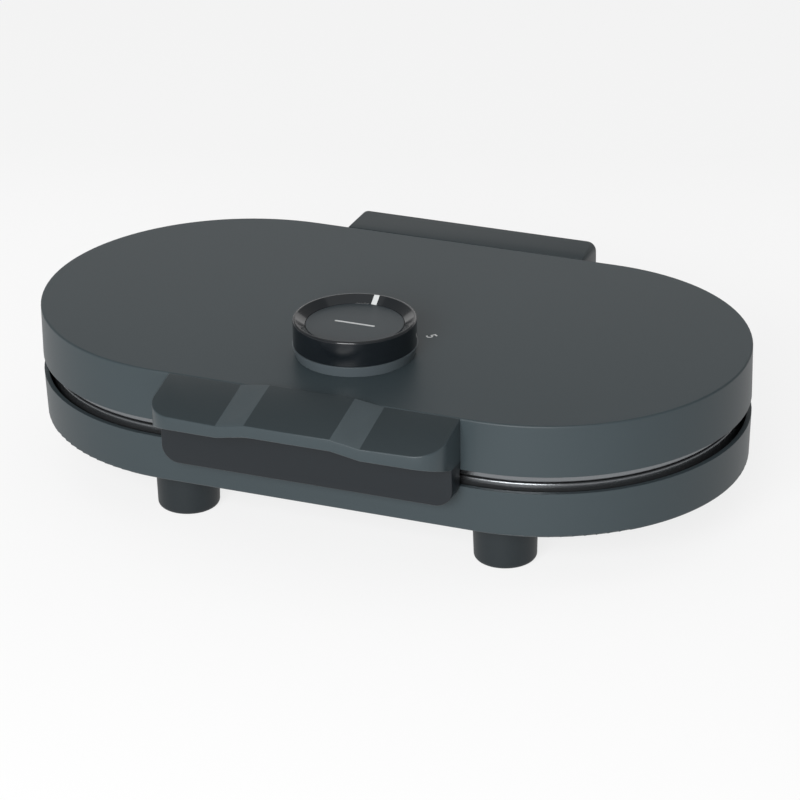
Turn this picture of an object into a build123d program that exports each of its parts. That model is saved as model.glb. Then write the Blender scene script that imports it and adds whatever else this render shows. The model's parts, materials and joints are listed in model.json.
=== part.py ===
from build123d import *
import math
import os

# Double waffle maker. Millimetres, +Z up, +X to the right of someone at the handle, +Y to the back.
# Pieces are drawn about the casing's middle, with the table at zero, and saved about the middle
# of the whole footprint.

# Casings
CASE_LENGTH = 390.0
CASE_DEPTH = 213.0
CASE_WALL = 2.5
CASE_SEAM = 9.4
BASE_HEIGHT = 25.1
BASE_DRAFT = 1.0
BASE_EDGE_R = 1.5
LID_HEIGHT = 28.3
LID_EDGE_R = 1.0
WRAP_HEIGHT = 31.0
VENT_COUNT = 5
VENT_LENGTH = 36.0
VENT_WIDTH = 3.0
VENT_PITCH = 9.0

# Waffle plates
PLATE_GAP = 0.6
PLATE_REVEAL = 3.5
PLATE_INSET = 5.0
PLATE_SKIN = 4.0
PLATE_EDGE_R = 0.8
RIM_WIDTH = 4.0
RIM_HEIGHT = 8.5
GROOVE_INSET = 7.0
GROOVE_WIDTH = 3.0
GROOVE_DEPTH = 1.5

# Waffle moulds
MOULD_END_MARGIN = 20.0
MOULD_HALF_GAP = 10.0
MOULD_FLOOR = 3.0
BOWL_WALL = 3.0
RECESS_DEPTH = 3.0
CELL_DEPTH = 5.0
HEART_COUNT = 5
HEART_TIP_X = 9.0
HEART_TIP_R = 2.0
LOBE_MARGIN = 21.0
LOBE_ANGLE = 15.0
HEART_GAP = 5.5
RIB_PITCH = 14.0
RIB_WIDTH = 2.8

# Screws
SCREW_R = 2.0
SCREW_HEAD_R = 3.8
SCREW_HEAD_H = 2.2
SCREW_CLEARANCE = 0.1
SCREW_SLOT_R = 1.9
SCREW_SLOT_WIDTH = 0.65
BOSS_WALL = 2.4
PLATE_SCREW_INSET = 23.5
PLATE_SCREW_END = 10.0
PLATE_SCREW_LENGTH = 15.0

# Heating
HEATER_R = 3.25
HEATER_INSET = 28.0
HEATER_GAP_ANGLE = 24.0
HEATER_PIN_R = 1.5
HEATER_PIN_LENGTH = 9.0
HEATER_SEAT = 0.05
TRAY_END_MARGIN = 22.0
TRAY_BOSS_GAP = 3.5
TRAY_SHEET = 0.8
TRAY_LIP = 4.0
TRAY_DROP = 9.6
POST_R = 3.0
POST_X = 60.0
POST_Y = 40.0

# Feet
FOOT_END_INSET = 105.0
FOOT_SIDE_INSET = 37.5
FOOT_TOP_R = 17.2
FOOT_BOTTOM_R = 16.4
FOOT_EDGE_R = 2.5
FOOT_WALL = 3.0
PAD_R = 11.0
PAD_HEIGHT = 2.5
PAD_PROUD = 0.5
FOOT_SCREW_LENGTH = 20.0

# Hinge
HINGE_REACH = 11.5
HINGE_RISE = 0.5
BARREL_R = 9.0
EAR_POCKET_CLEARANCE = 1.7
COVER_END_GAP = 18.5
COVER_BACK_RISE = 2.2
COVER_CORNER_R = 5.0
COVER_WALL = 2.5
COVER_HOLLOW_RISE = 12.0
EAR_INSET = 18.0
EAR_WIDTH = 12.0
EAR_R = 8.2
EAR_SIDE_GAP = 0.5
PIN_R = 3.0
PIN_CLEARANCE = 0.05
PIN_LENGTH = 28.0
BRACKET_SIDE_INSET = 6.0
BRACKET_RISE = 3.0
BRACKET_DROP = 12.0
BRACKET_EDGE_R = 3.0
HINGE_SCREW_GAP = 22.0
BRACKET_SCREW_RISE = 11.0
WALL_SCREW_LENGTH = 10.0
WALL_SCREW_SEAT = 0.2

# Front handle
HANDLE_HALF_WIDTH = 80.3
HANDLE_REACH = 34.5
HANDLE_BOW = 2.0
HANDLE_CORNER_R = 15.0
HANDLE_DROP = 8.8
HANDLE_RISE_FRONT = 3.0
HANDLE_RISE_BACK = 2.3
HANDLE_MID_X = 23.5
HANDLE_RAMP = 16.0
HANDLE_LIP = 6.2
LIP_ROOT_DROP = 23.2
SKIRT_REACH = 12.5
SKIRT_HEIGHT = 44.5
SKIRT_CORNER_R = 9.5
SKIRT_CLEARANCE = 1.0
HANDLE_WALL = 2.5
HANDLE_HOLLOW_DROP = 7.8
HANDLE_SCREW_X = 50.0
HANDLE_SCREW_DROP = 13.8

# Thermostat and dial
DIAL_TO_SCREW = 28.0
COLLAR_PROUD = 0.5
COLLAR_TAPER = 1.8
COLLAR_HEIGHT = 6.0
COLLAR_WALL = 3.0
DIAL_R = 32.3
DIAL_HEIGHT = 13.6
DIAL_GAP = 0.3
DIAL_RIM_R = 1.0
DIAL_RIM_FLAT = 0.6
BEVEL_WIDTH = 6.4
CAP_GAP = 0.3
CAP_HEIGHT = 2.3
CAP_SINK = 3.4
DIAL_FLOOR = 2.5
HUB_R = 6.0
POINTER_WIDTH = 3.0
POINTER_DEPTH = 0.6
BAR_LENGTH = 22.4
BAR_WIDTH = 1.5
BAR_HEIGHT = 0.8
SHAFT_R = 3.0
SHAFT_HOLE_R = 4.0
SHAFT_SINK = 6.0
BRACKET_SHEET = 1.5
THERMOSTAT_FOOT_LENGTH = 44.0
THERMOSTAT_WIDTH = 18.0
THERMOSTAT_LENGTH = 24.0
THERMOSTAT_HEIGHT = 11.0
THERMOSTAT_SCREW_REACH = 17.0
THERMOSTAT_SCREW_LENGTH = 3.0

# Mains inlet
GLAND_SIDE_GAP = 14.0
GLAND_RISE = 11.0
GLAND_BORE_R = 3.6
GLAND_TUBE_R = 5.5
GLAND_FLANGE_R = 8.0
GLAND_FLANGE = 2.5
GLAND_INSIDE = 9.0
GLAND_OUTSIDE = 6.0
GLAND_NUT_R = 7.5
GLAND_NUT_HEIGHT = 4.0
BLOCK_X = 30.0
BLOCK_INSET = 18.5
BLOCK_LENGTH = 34.0
BLOCK_WIDTH = 14.0
BLOCK_HEIGHT = 12.0
BLOCK_HOLE_R = 2.2
BLOCK_HOLE_PITCH = 10.0
BLOCK_SCREW_X = 14.0
BLOCK_SCREW_LENGTH = 12.0
FUSE_R = 2.5
FUSE_LENGTH = 16.0
FUSE_LEAD_R = 0.6
FUSE_LEAD_LENGTH = 8.0
FUSE_SEAT = 0.3

# Levels and outlines that follow
BASE_FLOOR_Z = WRAP_HEIGHT + CASE_WALL
BASE_TOP_Z = WRAP_HEIGHT + BASE_HEIGHT
LID_BOTTOM_Z = BASE_TOP_Z + CASE_SEAM
LID_TOP_Z = LID_BOTTOM_Z + LID_HEIGHT
LID_CEILING_Z = LID_TOP_Z - CASE_WALL
LOWER_FACE_Z = BASE_TOP_Z + PLATE_REVEAL
PARTING_Z = LOWER_FACE_Z + PLATE_GAP / 2
LOWER_SKIN_Z = LOWER_FACE_Z - PLATE_SKIN
BOWL_BOTTOM_Z = LOWER_FACE_Z - RECESS_DEPTH - CELL_DEPTH - MOULD_FLOOR
PLATE_LENGTH = CASE_LENGTH - 2 * PLATE_INSET
PLATE_DEPTH = CASE_DEPTH - 2 * PLATE_INSET
WALL_Y = CASE_DEPTH / 2
MOULD_R = (PLATE_LENGTH / 2 - MOULD_END_MARGIN - MOULD_HALF_GAP) / 2
MOULD_X = MOULD_HALF_GAP + MOULD_R
LOBE_REACH = MOULD_R - LOBE_MARGIN
RIB_REACH = MOULD_R
HEATER_LOOP_R = MOULD_R - HEATER_INSET
PLATE_SCREW_Y = PLATE_DEPTH / 2 - PLATE_SCREW_INSET
PLATE_SCREW_X = PLATE_LENGTH / 2 - PLATE_SCREW_END
DIAL_Y = DIAL_TO_SCREW - PLATE_SCREW_Y
BLOCK_Y = WALL_Y - BLOCK_INSET
FOOT_X = CASE_LENGTH / 2 - FOOT_END_INSET
FOOT_Y = WALL_Y - FOOT_SIDE_INSET
BOSS_R = SCREW_R + SCREW_CLEARANCE + BOSS_WALL
TRAY_LENGTH = PLATE_LENGTH - 2 * TRAY_END_MARGIN
TRAY_DEPTH = 2 * (PLATE_SCREW_Y - BOSS_R - TRAY_BOSS_GAP)
HOLE_R = SCREW_R + SCREW_CLEARANCE
BOSS_PLACES = [(0, PLATE_SCREW_Y), (0, -PLATE_SCREW_Y), (PLATE_SCREW_X, 0), (-PLATE_SCREW_X, 0)]
POST_PLACES = [(x, y) for x in (-POST_X, POST_X) for y in (-POST_Y, POST_Y)]
HINGE_Y = WALL_Y + HINGE_REACH
HINGE_Z = LID_BOTTOM_Z + HINGE_RISE
STRAIGHT_X = (CASE_LENGTH - CASE_DEPTH) / 2
COVER_HALF_WIDTH = STRAIGHT_X - COVER_END_GAP
BRACKET_HALF_WIDTH = COVER_HALF_WIDTH - BRACKET_SIDE_INSET
EAR_X = COVER_HALF_WIDTH - EAR_INSET
HINGE_SCREW_X = EAR_X - HINGE_SCREW_GAP
BRACKET_BOTTOM_Z = WRAP_HEIGHT + BRACKET_RISE
BRACKET_TOP_Z = HINGE_Z - BRACKET_DROP
BRACKET_SCREW_Z = WRAP_HEIGHT + BRACKET_SCREW_RISE
GLAND_X = BRACKET_HALF_WIDTH + GLAND_SIDE_GAP
GLAND_Z = WRAP_HEIGHT + GLAND_RISE
COVER_BACK_Z = LID_TOP_Z + COVER_BACK_RISE
COVER_HOLLOW_Z = HINGE_Z + COVER_HOLLOW_RISE
COVER_BACK_Y = HINGE_Y + BARREL_R
HANDLE_FRONT_Y = WALL_Y + HANDLE_REACH
SKIRT_FRONT_Y = WALL_Y + SKIRT_REACH
HANDLE_SIDE_FRONT_Z = LID_TOP_Z - HANDLE_DROP
HANDLE_MID_FRONT_Z = HANDLE_SIDE_FRONT_Z + HANDLE_RISE_FRONT
HANDLE_MID_BACK_Z = LID_TOP_Z + HANDLE_RISE_BACK
LIP_ROOT_Z = LID_TOP_Z - LIP_ROOT_DROP
SKIRT_BOTTOM_Z = LID_TOP_Z - SKIRT_HEIGHT
HANDLE_SCREW_Z = LID_TOP_Z - HANDLE_SCREW_DROP
DIAL_BOTTOM_Z = LID_TOP_Z + COLLAR_HEIGHT + DIAL_GAP
DIAL_TOP_Z = DIAL_BOTTOM_Z + DIAL_HEIGHT
CAP_TOP_Z = DIAL_TOP_Z - CAP_SINK
CAP_BOTTOM_Z = CAP_TOP_Z - CAP_HEIGHT
POCKET_R = DIAL_R - BEVEL_WIDTH
CAP_R = POCKET_R - CAP_GAP
COLLAR_TOP_R = DIAL_R + COLLAR_PROUD
COLLAR_BOTTOM_R = COLLAR_TOP_R - COLLAR_TAPER
TRAY_Z = BOWL_BOTTOM_Z - TRAY_DROP
ORIGIN_SHIFT = (HANDLE_FRONT_Y - COVER_BACK_Y) / 2


def mirrored_z(z):
    return 2 * PARTING_Z - z


def upside_down(piece):
    return mirror(piece, about=Plane.XY.offset(PARTING_Z))


def slot_block(length, depth, low, high):
    return Pos(0, 0, low) * extrude(SlotOverall(length, depth), amount=high - low)


def rod(radius, low, high, x=0.0, y=0.0):
    return Pos(x, y, low) * Cylinder(radius, high - low, align=(Align.CENTER, Align.CENTER, Align.MIN))


def rod_y(radius, front, back, x, z):
    base = Plane(origin=(x, front, z), z_dir=(0, 1, 0))
    return base * Cylinder(radius, back - front, align=(Align.CENTER, Align.CENTER, Align.MIN))


def rod_x(radius, left, right, y, z):
    base = Plane(origin=(left, y, z), z_dir=(1, 0, 0))
    return base * Cylinder(radius, right - left, align=(Align.CENTER, Align.CENTER, Align.MIN))


def block(x0, x1, y0, y1, z0, z1):
    corner = (Align.MIN, Align.MIN, Align.MIN)
    return Pos(x0, y0, z0) * Box(x1 - x0, y1 - y0, z1 - z0, align=corner)


def group(pieces):
    return Compound(children=list(pieces))


def tapered_slot(length, depth, draft, low, high):
    bottom = Pos(0, 0, low) * SlotOverall(length - 2 * draft, depth - 2 * draft)
    top = Pos(0, 0, high) * SlotOverall(length, depth)
    return loft([bottom, top], ruled=True)


def base_outer():
    body = tapered_slot(CASE_LENGTH, CASE_DEPTH, BASE_DRAFT, WRAP_HEIGHT, BASE_TOP_Z)
    bottom = body.faces().sort_by(Axis.Z)[0]
    return fillet(bottom.edges(), BASE_EDGE_R)


def lower_casing():
    inner_length = CASE_LENGTH - 2 * CASE_WALL
    inner_depth = CASE_DEPTH - 2 * CASE_WALL
    casing = base_outer() - tapered_slot(inner_length, inner_depth, BASE_DRAFT, BASE_FLOOR_Z, BASE_TOP_Z)
    for x, y in BOSS_PLACES:
        casing += rod(BOSS_R, BASE_FLOOR_Z, LOWER_SKIN_Z, x, y)
    for x, y in POST_PLACES:
        casing += rod(POST_R, BASE_FLOOR_Z, TRAY_Z, x, y)
    for x, y in BOSS_PLACES:
        casing -= rod(HOLE_R, BASE_FLOOR_Z, LOWER_SKIN_Z, x, y)
    for x, y in foot_places():
        casing -= rod(HOLE_R, WRAP_HEIGHT, BASE_FLOOR_Z, x, y)
    for x in block_screw_places():
        casing -= rod(HOLE_R, WRAP_HEIGHT, BASE_FLOOR_Z, x, BLOCK_Y)
    for x in (-HINGE_SCREW_X, HINGE_SCREW_X):
        casing -= rod_y(HOLE_R, WALL_Y - 2 * CASE_WALL, WALL_Y, x, BRACKET_SCREW_Z)
    casing -= rod_y(GLAND_TUBE_R + SCREW_CLEARANCE, WALL_Y - 3 * CASE_WALL, WALL_Y, GLAND_X, GLAND_Z)
    for step in range(VENT_COUNT):
        x = (step - (VENT_COUNT - 1) / 2) * VENT_PITCH
        vent = Pos(x, 0, WRAP_HEIGHT) * extrude(SlotOverall(VENT_LENGTH, VENT_WIDTH, rotation=90), CASE_WALL)
        casing -= vent
    return casing


def upper_casing():
    body = slot_block(CASE_LENGTH, CASE_DEPTH, LID_BOTTOM_Z, LID_TOP_Z)
    body = fillet(body.faces().sort_by(Axis.Z)[-1].edges(), LID_EDGE_R)
    inner_length = CASE_LENGTH - 2 * CASE_WALL
    inner_depth = CASE_DEPTH - 2 * CASE_WALL
    casing = body - slot_block(inner_length, inner_depth, LID_BOTTOM_Z, LID_CEILING_Z)
    for x, y in BOSS_PLACES:
        casing += rod(BOSS_R, mirrored_z(LOWER_SKIN_Z), LID_CEILING_Z, x, y)
    for x, y in POST_PLACES:
        casing += rod(POST_R, mirrored_z(TRAY_Z), LID_CEILING_Z, x, y)
    for x, y in BOSS_PLACES:
        casing -= rod(HOLE_R, mirrored_z(LOWER_SKIN_Z), LID_CEILING_Z, x, y)
    for x in (-HANDLE_SCREW_X, HANDLE_SCREW_X):
        casing -= rod_y(HOLE_R, -WALL_Y, -WALL_Y + CASE_WALL, x, HANDLE_SCREW_Z)
    for x in (-HINGE_SCREW_X, HINGE_SCREW_X):
        casing -= rod_y(HOLE_R, WALL_Y - CASE_WALL, WALL_Y, x, cover_screw_z())
    return casing - rod(SHAFT_HOLE_R, LID_CEILING_Z, LID_TOP_Z, 0, DIAL_Y)


def heart():
    tip = Pos(HEART_TIP_X, 0) * Circle(HEART_TIP_R)
    turn = math.radians(LOBE_ANGLE)
    half_sector = math.pi / HEART_COUNT
    lobe_r = LOBE_REACH * math.sin(half_sector - turn) - HEART_GAP / 2
    outline = Sketch()
    for side in (-1, 1):
        middle = Pos(LOBE_REACH * math.cos(turn), side * LOBE_REACH * math.sin(turn))
        lobe = middle * Circle(lobe_r)
        outline += make_hull(tip.edges() + lobe.edges())
    return outline


def heart_cells():
    ribs = Sketch()
    rows = int(RIB_REACH / RIB_PITCH)
    half_rows = rows // 2
    for step in range(1, rows):
        ribs += Pos((step + 0.5) * RIB_PITCH, 0) * Rectangle(RIB_WIDTH, 2 * RIB_REACH)
    for step in range(-half_rows, half_rows + 1):
        ribs += Pos(RIB_REACH / 2, step * RIB_PITCH) * Rectangle(RIB_REACH, RIB_WIDTH)
    return heart() - ribs


def mould():
    recess_z = LOWER_FACE_Z - RECESS_DEPTH
    bowl = rod(MOULD_R + BOWL_WALL, BOWL_BOTTOM_Z, LOWER_SKIN_Z)
    cells = extrude(heart_cells(), amount=CELL_DEPTH)
    pocket = group(
        Rot(0, 0, 90 + step * 360 / HEART_COUNT) * Pos(0, 0, recess_z - CELL_DEPTH) * solid
        for step in range(HEART_COUNT)
        for solid in cells.solids()
    )
    skin = rod(MOULD_R + BOWL_WALL, LOWER_SKIN_Z, LOWER_FACE_Z) - rod(MOULD_R, recess_z, LOWER_FACE_Z)
    return (bowl + skin) - pocket


def waffle_plate():
    slab = slot_block(PLATE_LENGTH, PLATE_DEPTH, LOWER_FACE_Z - RIM_HEIGHT, LOWER_FACE_Z)
    slab = fillet(slab.faces().sort_by(Axis.Z)[-1].edges(), PLATE_EDGE_R)
    under_length = PLATE_LENGTH - 2 * RIM_WIDTH
    under_depth = PLATE_DEPTH - 2 * RIM_WIDTH
    plate = slab - slot_block(under_length, under_depth, LOWER_FACE_Z - RIM_HEIGHT, LOWER_SKIN_Z)
    groove_z = LOWER_FACE_Z - GROOVE_DEPTH
    inset = 2 * GROOVE_INSET
    groove = slot_block(PLATE_LENGTH - inset, PLATE_DEPTH - inset, groove_z, LOWER_FACE_Z)
    inset = 2 * (GROOVE_INSET + GROOVE_WIDTH)
    groove -= slot_block(PLATE_LENGTH - inset, PLATE_DEPTH - inset, groove_z, LOWER_FACE_Z)
    plate -= groove
    for x, y in BOSS_PLACES:
        plate -= rod(HOLE_R, LOWER_SKIN_Z, LOWER_FACE_Z, x, y)
        plate -= Pos(x, y, 0) * screw_cone(0)
    for side in (-1, 1):
        plate -= rod(MOULD_R + BOWL_WALL, LOWER_SKIN_Z, LOWER_FACE_Z, side * MOULD_X)
    one_mould = mould()
    return plate + [Pos(side * MOULD_X, 0, 0) * one_mould for side in (-1, 1)]


def upper_waffle_plate(lower):
    plate = upside_down(lower)
    low = thermostat_base_z() - THERMOSTAT_SCREW_LENGTH
    for y in thermostat_screw_places():
        plate -= rod(HOLE_R, low, thermostat_base_z(), 0, y)
    return plate


def screw_cone(clearance):
    cone = Cone(SCREW_R + clearance, SCREW_HEAD_R + clearance, SCREW_HEAD_H)
    return Pos(0, 0, LOWER_FACE_Z - SCREW_HEAD_H / 2) * cone


def cross_slot(depth):
    bar = Box(2 * SCREW_SLOT_R, SCREW_SLOT_WIDTH, depth)
    return bar + Rot(0, 0, 90) * bar


def plate_screws():
    low = LOWER_FACE_Z - PLATE_SCREW_LENGTH
    screw = screw_cone(0) + rod(SCREW_R, low, LOWER_FACE_Z - SCREW_HEAD_H)
    screw -= Pos(0, 0, LOWER_FACE_Z) * cross_slot(SCREW_HEAD_H)
    return group(Pos(x, y, 0) * screw for x, y in BOSS_PLACES)


def pan_screw(length):
    head = rod(SCREW_HEAD_R, 0, SCREW_HEAD_H)
    head = fillet(head.faces().sort_by(Axis.Z)[-1].edges(), SCREW_HEAD_H / 3)
    screw = head + rod(SCREW_R, -length, 0)
    return screw - Pos(0, 0, SCREW_HEAD_H) * cross_slot(SCREW_HEAD_H)


def heater(side):
    z = BOWL_BOTTOM_Z - HEATER_SEAT - HEATER_R
    half_gap = HEATER_GAP_ANGLE / 2
    path = CenterArc((0, 0), HEATER_LOOP_R, half_gap, 360 - HEATER_GAP_ANGLE)
    tube = sweep(Plane(origin=path @ 0, z_dir=path % 0) * Circle(HEATER_R), path=path)
    for end, direction in ((0, -1), (1, 1)):
        start = path @ end
        along = (path % end) * direction
        base = Plane(origin=start, z_dir=along)
        upright = (Align.CENTER, Align.CENTER, Align.MIN)
        tube += base * Cylinder(HEATER_PIN_R, HEATER_PIN_LENGTH, align=upright)
    turn = 0 if side < 0 else 180
    return Pos(side * MOULD_X, 0, z) * Rot(0, 0, turn) * tube


def tray():
    outer = slot_block(TRAY_LENGTH, TRAY_DEPTH, TRAY_Z, TRAY_Z + TRAY_LIP)
    inset = 2 * TRAY_SHEET
    floor_z = TRAY_Z + TRAY_SHEET
    return outer - slot_block(TRAY_LENGTH - inset, TRAY_DEPTH - inset, floor_z, TRAY_Z + TRAY_LIP)


def upper_tray():
    sheet = upside_down(tray())
    return sheet - rod(SHAFT_HOLE_R, mirrored_z(TRAY_Z + TRAY_SHEET), mirrored_z(TRAY_Z), 0, DIAL_Y)


def foot_places():
    return [(x, y) for x in (-FOOT_X, FOOT_X) for y in (-FOOT_Y, FOOT_Y)]


def foot():
    height = WRAP_HEIGHT - PAD_PROUD
    body = Pos(0, 0, PAD_PROUD + height / 2) * Cone(FOOT_BOTTOM_R, FOOT_TOP_R, height)
    body = fillet(body.faces().sort_by(Axis.Z)[0].edges(), FOOT_EDGE_R)
    hollow_z = PAD_HEIGHT + FOOT_WALL
    hollow = rod(FOOT_BOTTOM_R - FOOT_WALL, hollow_z, WRAP_HEIGHT) - rod(BOSS_R, hollow_z, WRAP_HEIGHT)
    body -= hollow
    body -= rod(PAD_R, PAD_PROUD, PAD_HEIGHT)
    return body - rod(HOLE_R, hollow_z, WRAP_HEIGHT)


def foot_pads():
    pad = rod(PAD_R, 0, PAD_HEIGHT)
    pad = fillet(pad.faces().sort_by(Axis.Z)[0].edges(), PAD_PROUD / 2)
    return group(Pos(x, y, 0) * pad for x, y in foot_places())


def foot_screws():
    screw = pan_screw(FOOT_SCREW_LENGTH)
    return group(Pos(x, y, BASE_FLOOR_Z) * screw for x, y in foot_places())


def cover_screw_z():
    return (COVER_HOLLOW_Z + LID_CEILING_Z) / 2


def cover_section():
    front = WALL_Y
    barrel_front = HINGE_Y - BARREL_R
    lines = [
        Line((front, HINGE_Z), (barrel_front, HINGE_Z)),
        ThreePointArc((barrel_front, HINGE_Z), (HINGE_Y, HINGE_Z - BARREL_R), (COVER_BACK_Y, HINGE_Z)),
        Line((COVER_BACK_Y, HINGE_Z), (COVER_BACK_Y, COVER_BACK_Z)),
        Line((COVER_BACK_Y, COVER_BACK_Z), (front, LID_TOP_Z)),
        Line((front, LID_TOP_Z), (front, HINGE_Z)),
    ]
    return make_face(lines)


def across(section, half_width):
    return Plane.YZ.offset(-half_width) * extrude(section, amount=2 * half_width)


def rear_hinge_cover():
    cover = across(cover_section(), COVER_HALF_WIDTH)
    outline = Rectangle(2 * COVER_HALF_WIDTH, 2 * (COVER_BACK_Z - HINGE_Z))
    outline = fillet(outline.vertices(), COVER_CORNER_R)
    front = Plane(origin=(0, WALL_Y, HINGE_Z), x_dir=(1, 0, 0), z_dir=(0, -1, 0))
    limit = front * extrude(outline, amount=WALL_Y - COVER_BACK_Y)
    cover &= limit
    inside = COVER_HALF_WIDTH - COVER_WALL
    cover -= block(-inside, inside, WALL_Y, COVER_BACK_Y - COVER_WALL, COVER_HOLLOW_Z, LID_CEILING_Z)
    for side in (-1, 1):
        middle = side * EAR_X
        half = EAR_WIDTH / 2 + EAR_SIDE_GAP
        reach = EAR_R + EAR_POCKET_CLEARANCE
        low = HINGE_Z - BARREL_R
        cover -= block(middle - half, middle + half, HINGE_Y - reach, COVER_BACK_Y, low, HINGE_Z + reach)
        cover -= rod_x(PIN_R, middle - PIN_LENGTH / 2, middle + PIN_LENGTH / 2, HINGE_Y, HINGE_Z)
    for side in (-1, 1):
        x = side * HINGE_SCREW_X
        cover += rod_y(BOSS_R, WALL_Y, COVER_BACK_Y - COVER_WALL, x, cover_screw_z())
        cover -= rod_y(HOLE_R, WALL_Y, WALL_Y + WALL_SCREW_LENGTH, x, cover_screw_z())
    return cover


def hinge_pins():
    half = PIN_LENGTH / 2
    return group(rod_x(PIN_R, x - half, x + half, HINGE_Y, HINGE_Z) for x in (-EAR_X, EAR_X))


def hinge_bracket():
    half = BRACKET_HALF_WIDTH
    body = block(-half, half, WALL_Y - CASE_WALL, COVER_BACK_Y, BRACKET_BOTTOM_Z, BRACKET_TOP_Z)
    rounded = body.edges().filter_by(Axis.Z).group_by(Axis.Y)[-1]
    body = fillet(rounded, BRACKET_EDGE_R)
    for side in (-1, 1):
        left = side * EAR_X - EAR_WIDTH / 2
        right = side * EAR_X + EAR_WIDTH / 2
        body += rod_x(EAR_R, left, right, HINGE_Y, HINGE_Z)
        body += block(left, right, HINGE_Y - EAR_R, HINGE_Y + EAR_R, BRACKET_TOP_Z, HINGE_Z)
        body -= rod_x(PIN_R + PIN_CLEARANCE, left, right, HINGE_Y, HINGE_Z)
    for x in (-HINGE_SCREW_X, HINGE_SCREW_X):
        body -= rod_y(HOLE_R, WALL_Y - CASE_WALL, WALL_Y + WALL_SCREW_LENGTH, x, BRACKET_SCREW_Z)
    return body - base_outer()


def wall_screws(places, wall_y, turn):
    screw = Rot(turn, 0, 0) * pan_screw(WALL_SCREW_LENGTH)
    return group(Pos(x, wall_y, z) * screw for x, z in places)


def hinge_bracket_screws():
    places = [(x, BRACKET_SCREW_Z) for x in (-HINGE_SCREW_X, HINGE_SCREW_X)]
    return wall_screws(places, WALL_Y - CASE_WALL - BASE_DRAFT - WALL_SCREW_SEAT, 90)


def rear_cover_screws():
    places = [(x, cover_screw_z()) for x in (-HINGE_SCREW_X, HINGE_SCREW_X)]
    return wall_screws(places, WALL_Y - CASE_WALL, 90)


def handle_screws():
    places = [(x, HANDLE_SCREW_Z) for x in (-HANDLE_SCREW_X, HANDLE_SCREW_X)]
    return wall_screws(places, -WALL_Y + CASE_WALL, -90)


def handle_section(x, front_z, back_z):
    # The lip is drawn past its front line, which the plan outline then cuts.
    past = HANDLE_BOW * 2
    slope = (back_z - front_z) / (HANDLE_FRONT_Y - WALL_Y)
    under_slope = (front_z - HANDLE_LIP - LIP_ROOT_Z) / (HANDLE_FRONT_Y - SKIRT_FRONT_Y)
    front = HANDLE_FRONT_Y + past
    gap_y = WALL_Y + SKIRT_CLEARANCE
    points = [
        (-WALL_Y, back_z),
        (-front, front_z - slope * past),
        (-front, front_z - HANDLE_LIP + under_slope * past),
        (-SKIRT_FRONT_Y, LIP_ROOT_Z),
        (-SKIRT_FRONT_Y, SKIRT_BOTTOM_Z),
        (-gap_y, SKIRT_BOTTOM_Z),
        (-gap_y, LID_BOTTOM_Z),
        (-WALL_Y, LID_BOTTOM_Z),
    ]
    return Plane.YZ.offset(x) * make_face(Polyline(points, close=True))


def handle_blank():
    left = handle_section(-HANDLE_MID_X, HANDLE_MID_FRONT_Z, HANDLE_MID_BACK_Z)
    right = handle_section(HANDLE_MID_X, HANDLE_MID_FRONT_Z, HANDLE_MID_BACK_Z)
    blank = loft([left, right], ruled=True)
    for side, inner in ((-1, left), (1, right)):
        ramp_end = side * (HANDLE_MID_X + HANDLE_RAMP)
        outer = handle_section(ramp_end, HANDLE_SIDE_FRONT_Z, LID_TOP_Z)
        edge = handle_section(side * HANDLE_HALF_WIDTH, HANDLE_SIDE_FRONT_Z, LID_TOP_Z)
        blank += loft([inner, outer], ruled=True)
        blank += loft([outer, edge], ruled=True)
    return blank


def handle_plan():
    half = HANDLE_HALF_WIDTH
    corner_y = -HANDLE_FRONT_Y + HANDLE_BOW
    lines = [
        ThreePointArc((-half, corner_y), (0, -HANDLE_FRONT_Y), (half, corner_y)),
        Line((half, corner_y), (half, -WALL_Y)),
        Line((half, -WALL_Y), (-half, -WALL_Y)),
        Line((-half, -WALL_Y), (-half, corner_y)),
    ]
    outline = make_face(lines)
    corners = outline.vertices().sort_by(Axis.Y)[:2]
    return fillet(corners, HANDLE_CORNER_R)


def front_handle():
    body = handle_blank()
    low = SKIRT_BOTTOM_Z
    high = HANDLE_MID_BACK_Z
    body &= Pos(0, 0, low) * extrude(handle_plan(), amount=high - low)
    outline = Pos(0, (low + high) / 2) * Rectangle(2 * HANDLE_HALF_WIDTH, high - low)
    outline = fillet(outline.vertices().sort_by(Axis.Y)[:2], SKIRT_CORNER_R)
    front = Plane(origin=(0, 0, 0), x_dir=(1, 0, 0), z_dir=(0, -1, 0))
    body &= front * extrude(outline, amount=HANDLE_FRONT_Y)
    inside = HANDLE_HALF_WIDTH - HANDLE_WALL
    back_wall = -SKIRT_FRONT_Y + HANDLE_WALL
    body -= block(-inside, inside, back_wall, -WALL_Y, low + SKIRT_CORNER_R, LID_TOP_Z - HANDLE_HOLLOW_DROP)
    for x in (-HANDLE_SCREW_X, HANDLE_SCREW_X):
        body += rod_y(BOSS_R, back_wall, -WALL_Y, x, HANDLE_SCREW_Z)
        body -= rod_y(HOLE_R, -WALL_Y - WALL_SCREW_LENGTH, -WALL_Y, x, HANDLE_SCREW_Z)
    return body


def revolved(points):
    return Pos(0, DIAL_Y, 0) * revolve(Plane.XZ * make_face(Polyline(points, close=True)), axis=Axis.Z)


def dial_collar():
    top = LID_TOP_Z + COLLAR_HEIGHT
    points = [
        (COLLAR_BOTTOM_R - COLLAR_WALL, LID_TOP_Z),
        (COLLAR_BOTTOM_R, LID_TOP_Z),
        (COLLAR_TOP_R, top),
        (SHAFT_HOLE_R, top),
        (SHAFT_HOLE_R, top - COLLAR_WALL),
        (COLLAR_BOTTOM_R - COLLAR_WALL, top - COLLAR_WALL),
    ]
    return revolved(points)


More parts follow.
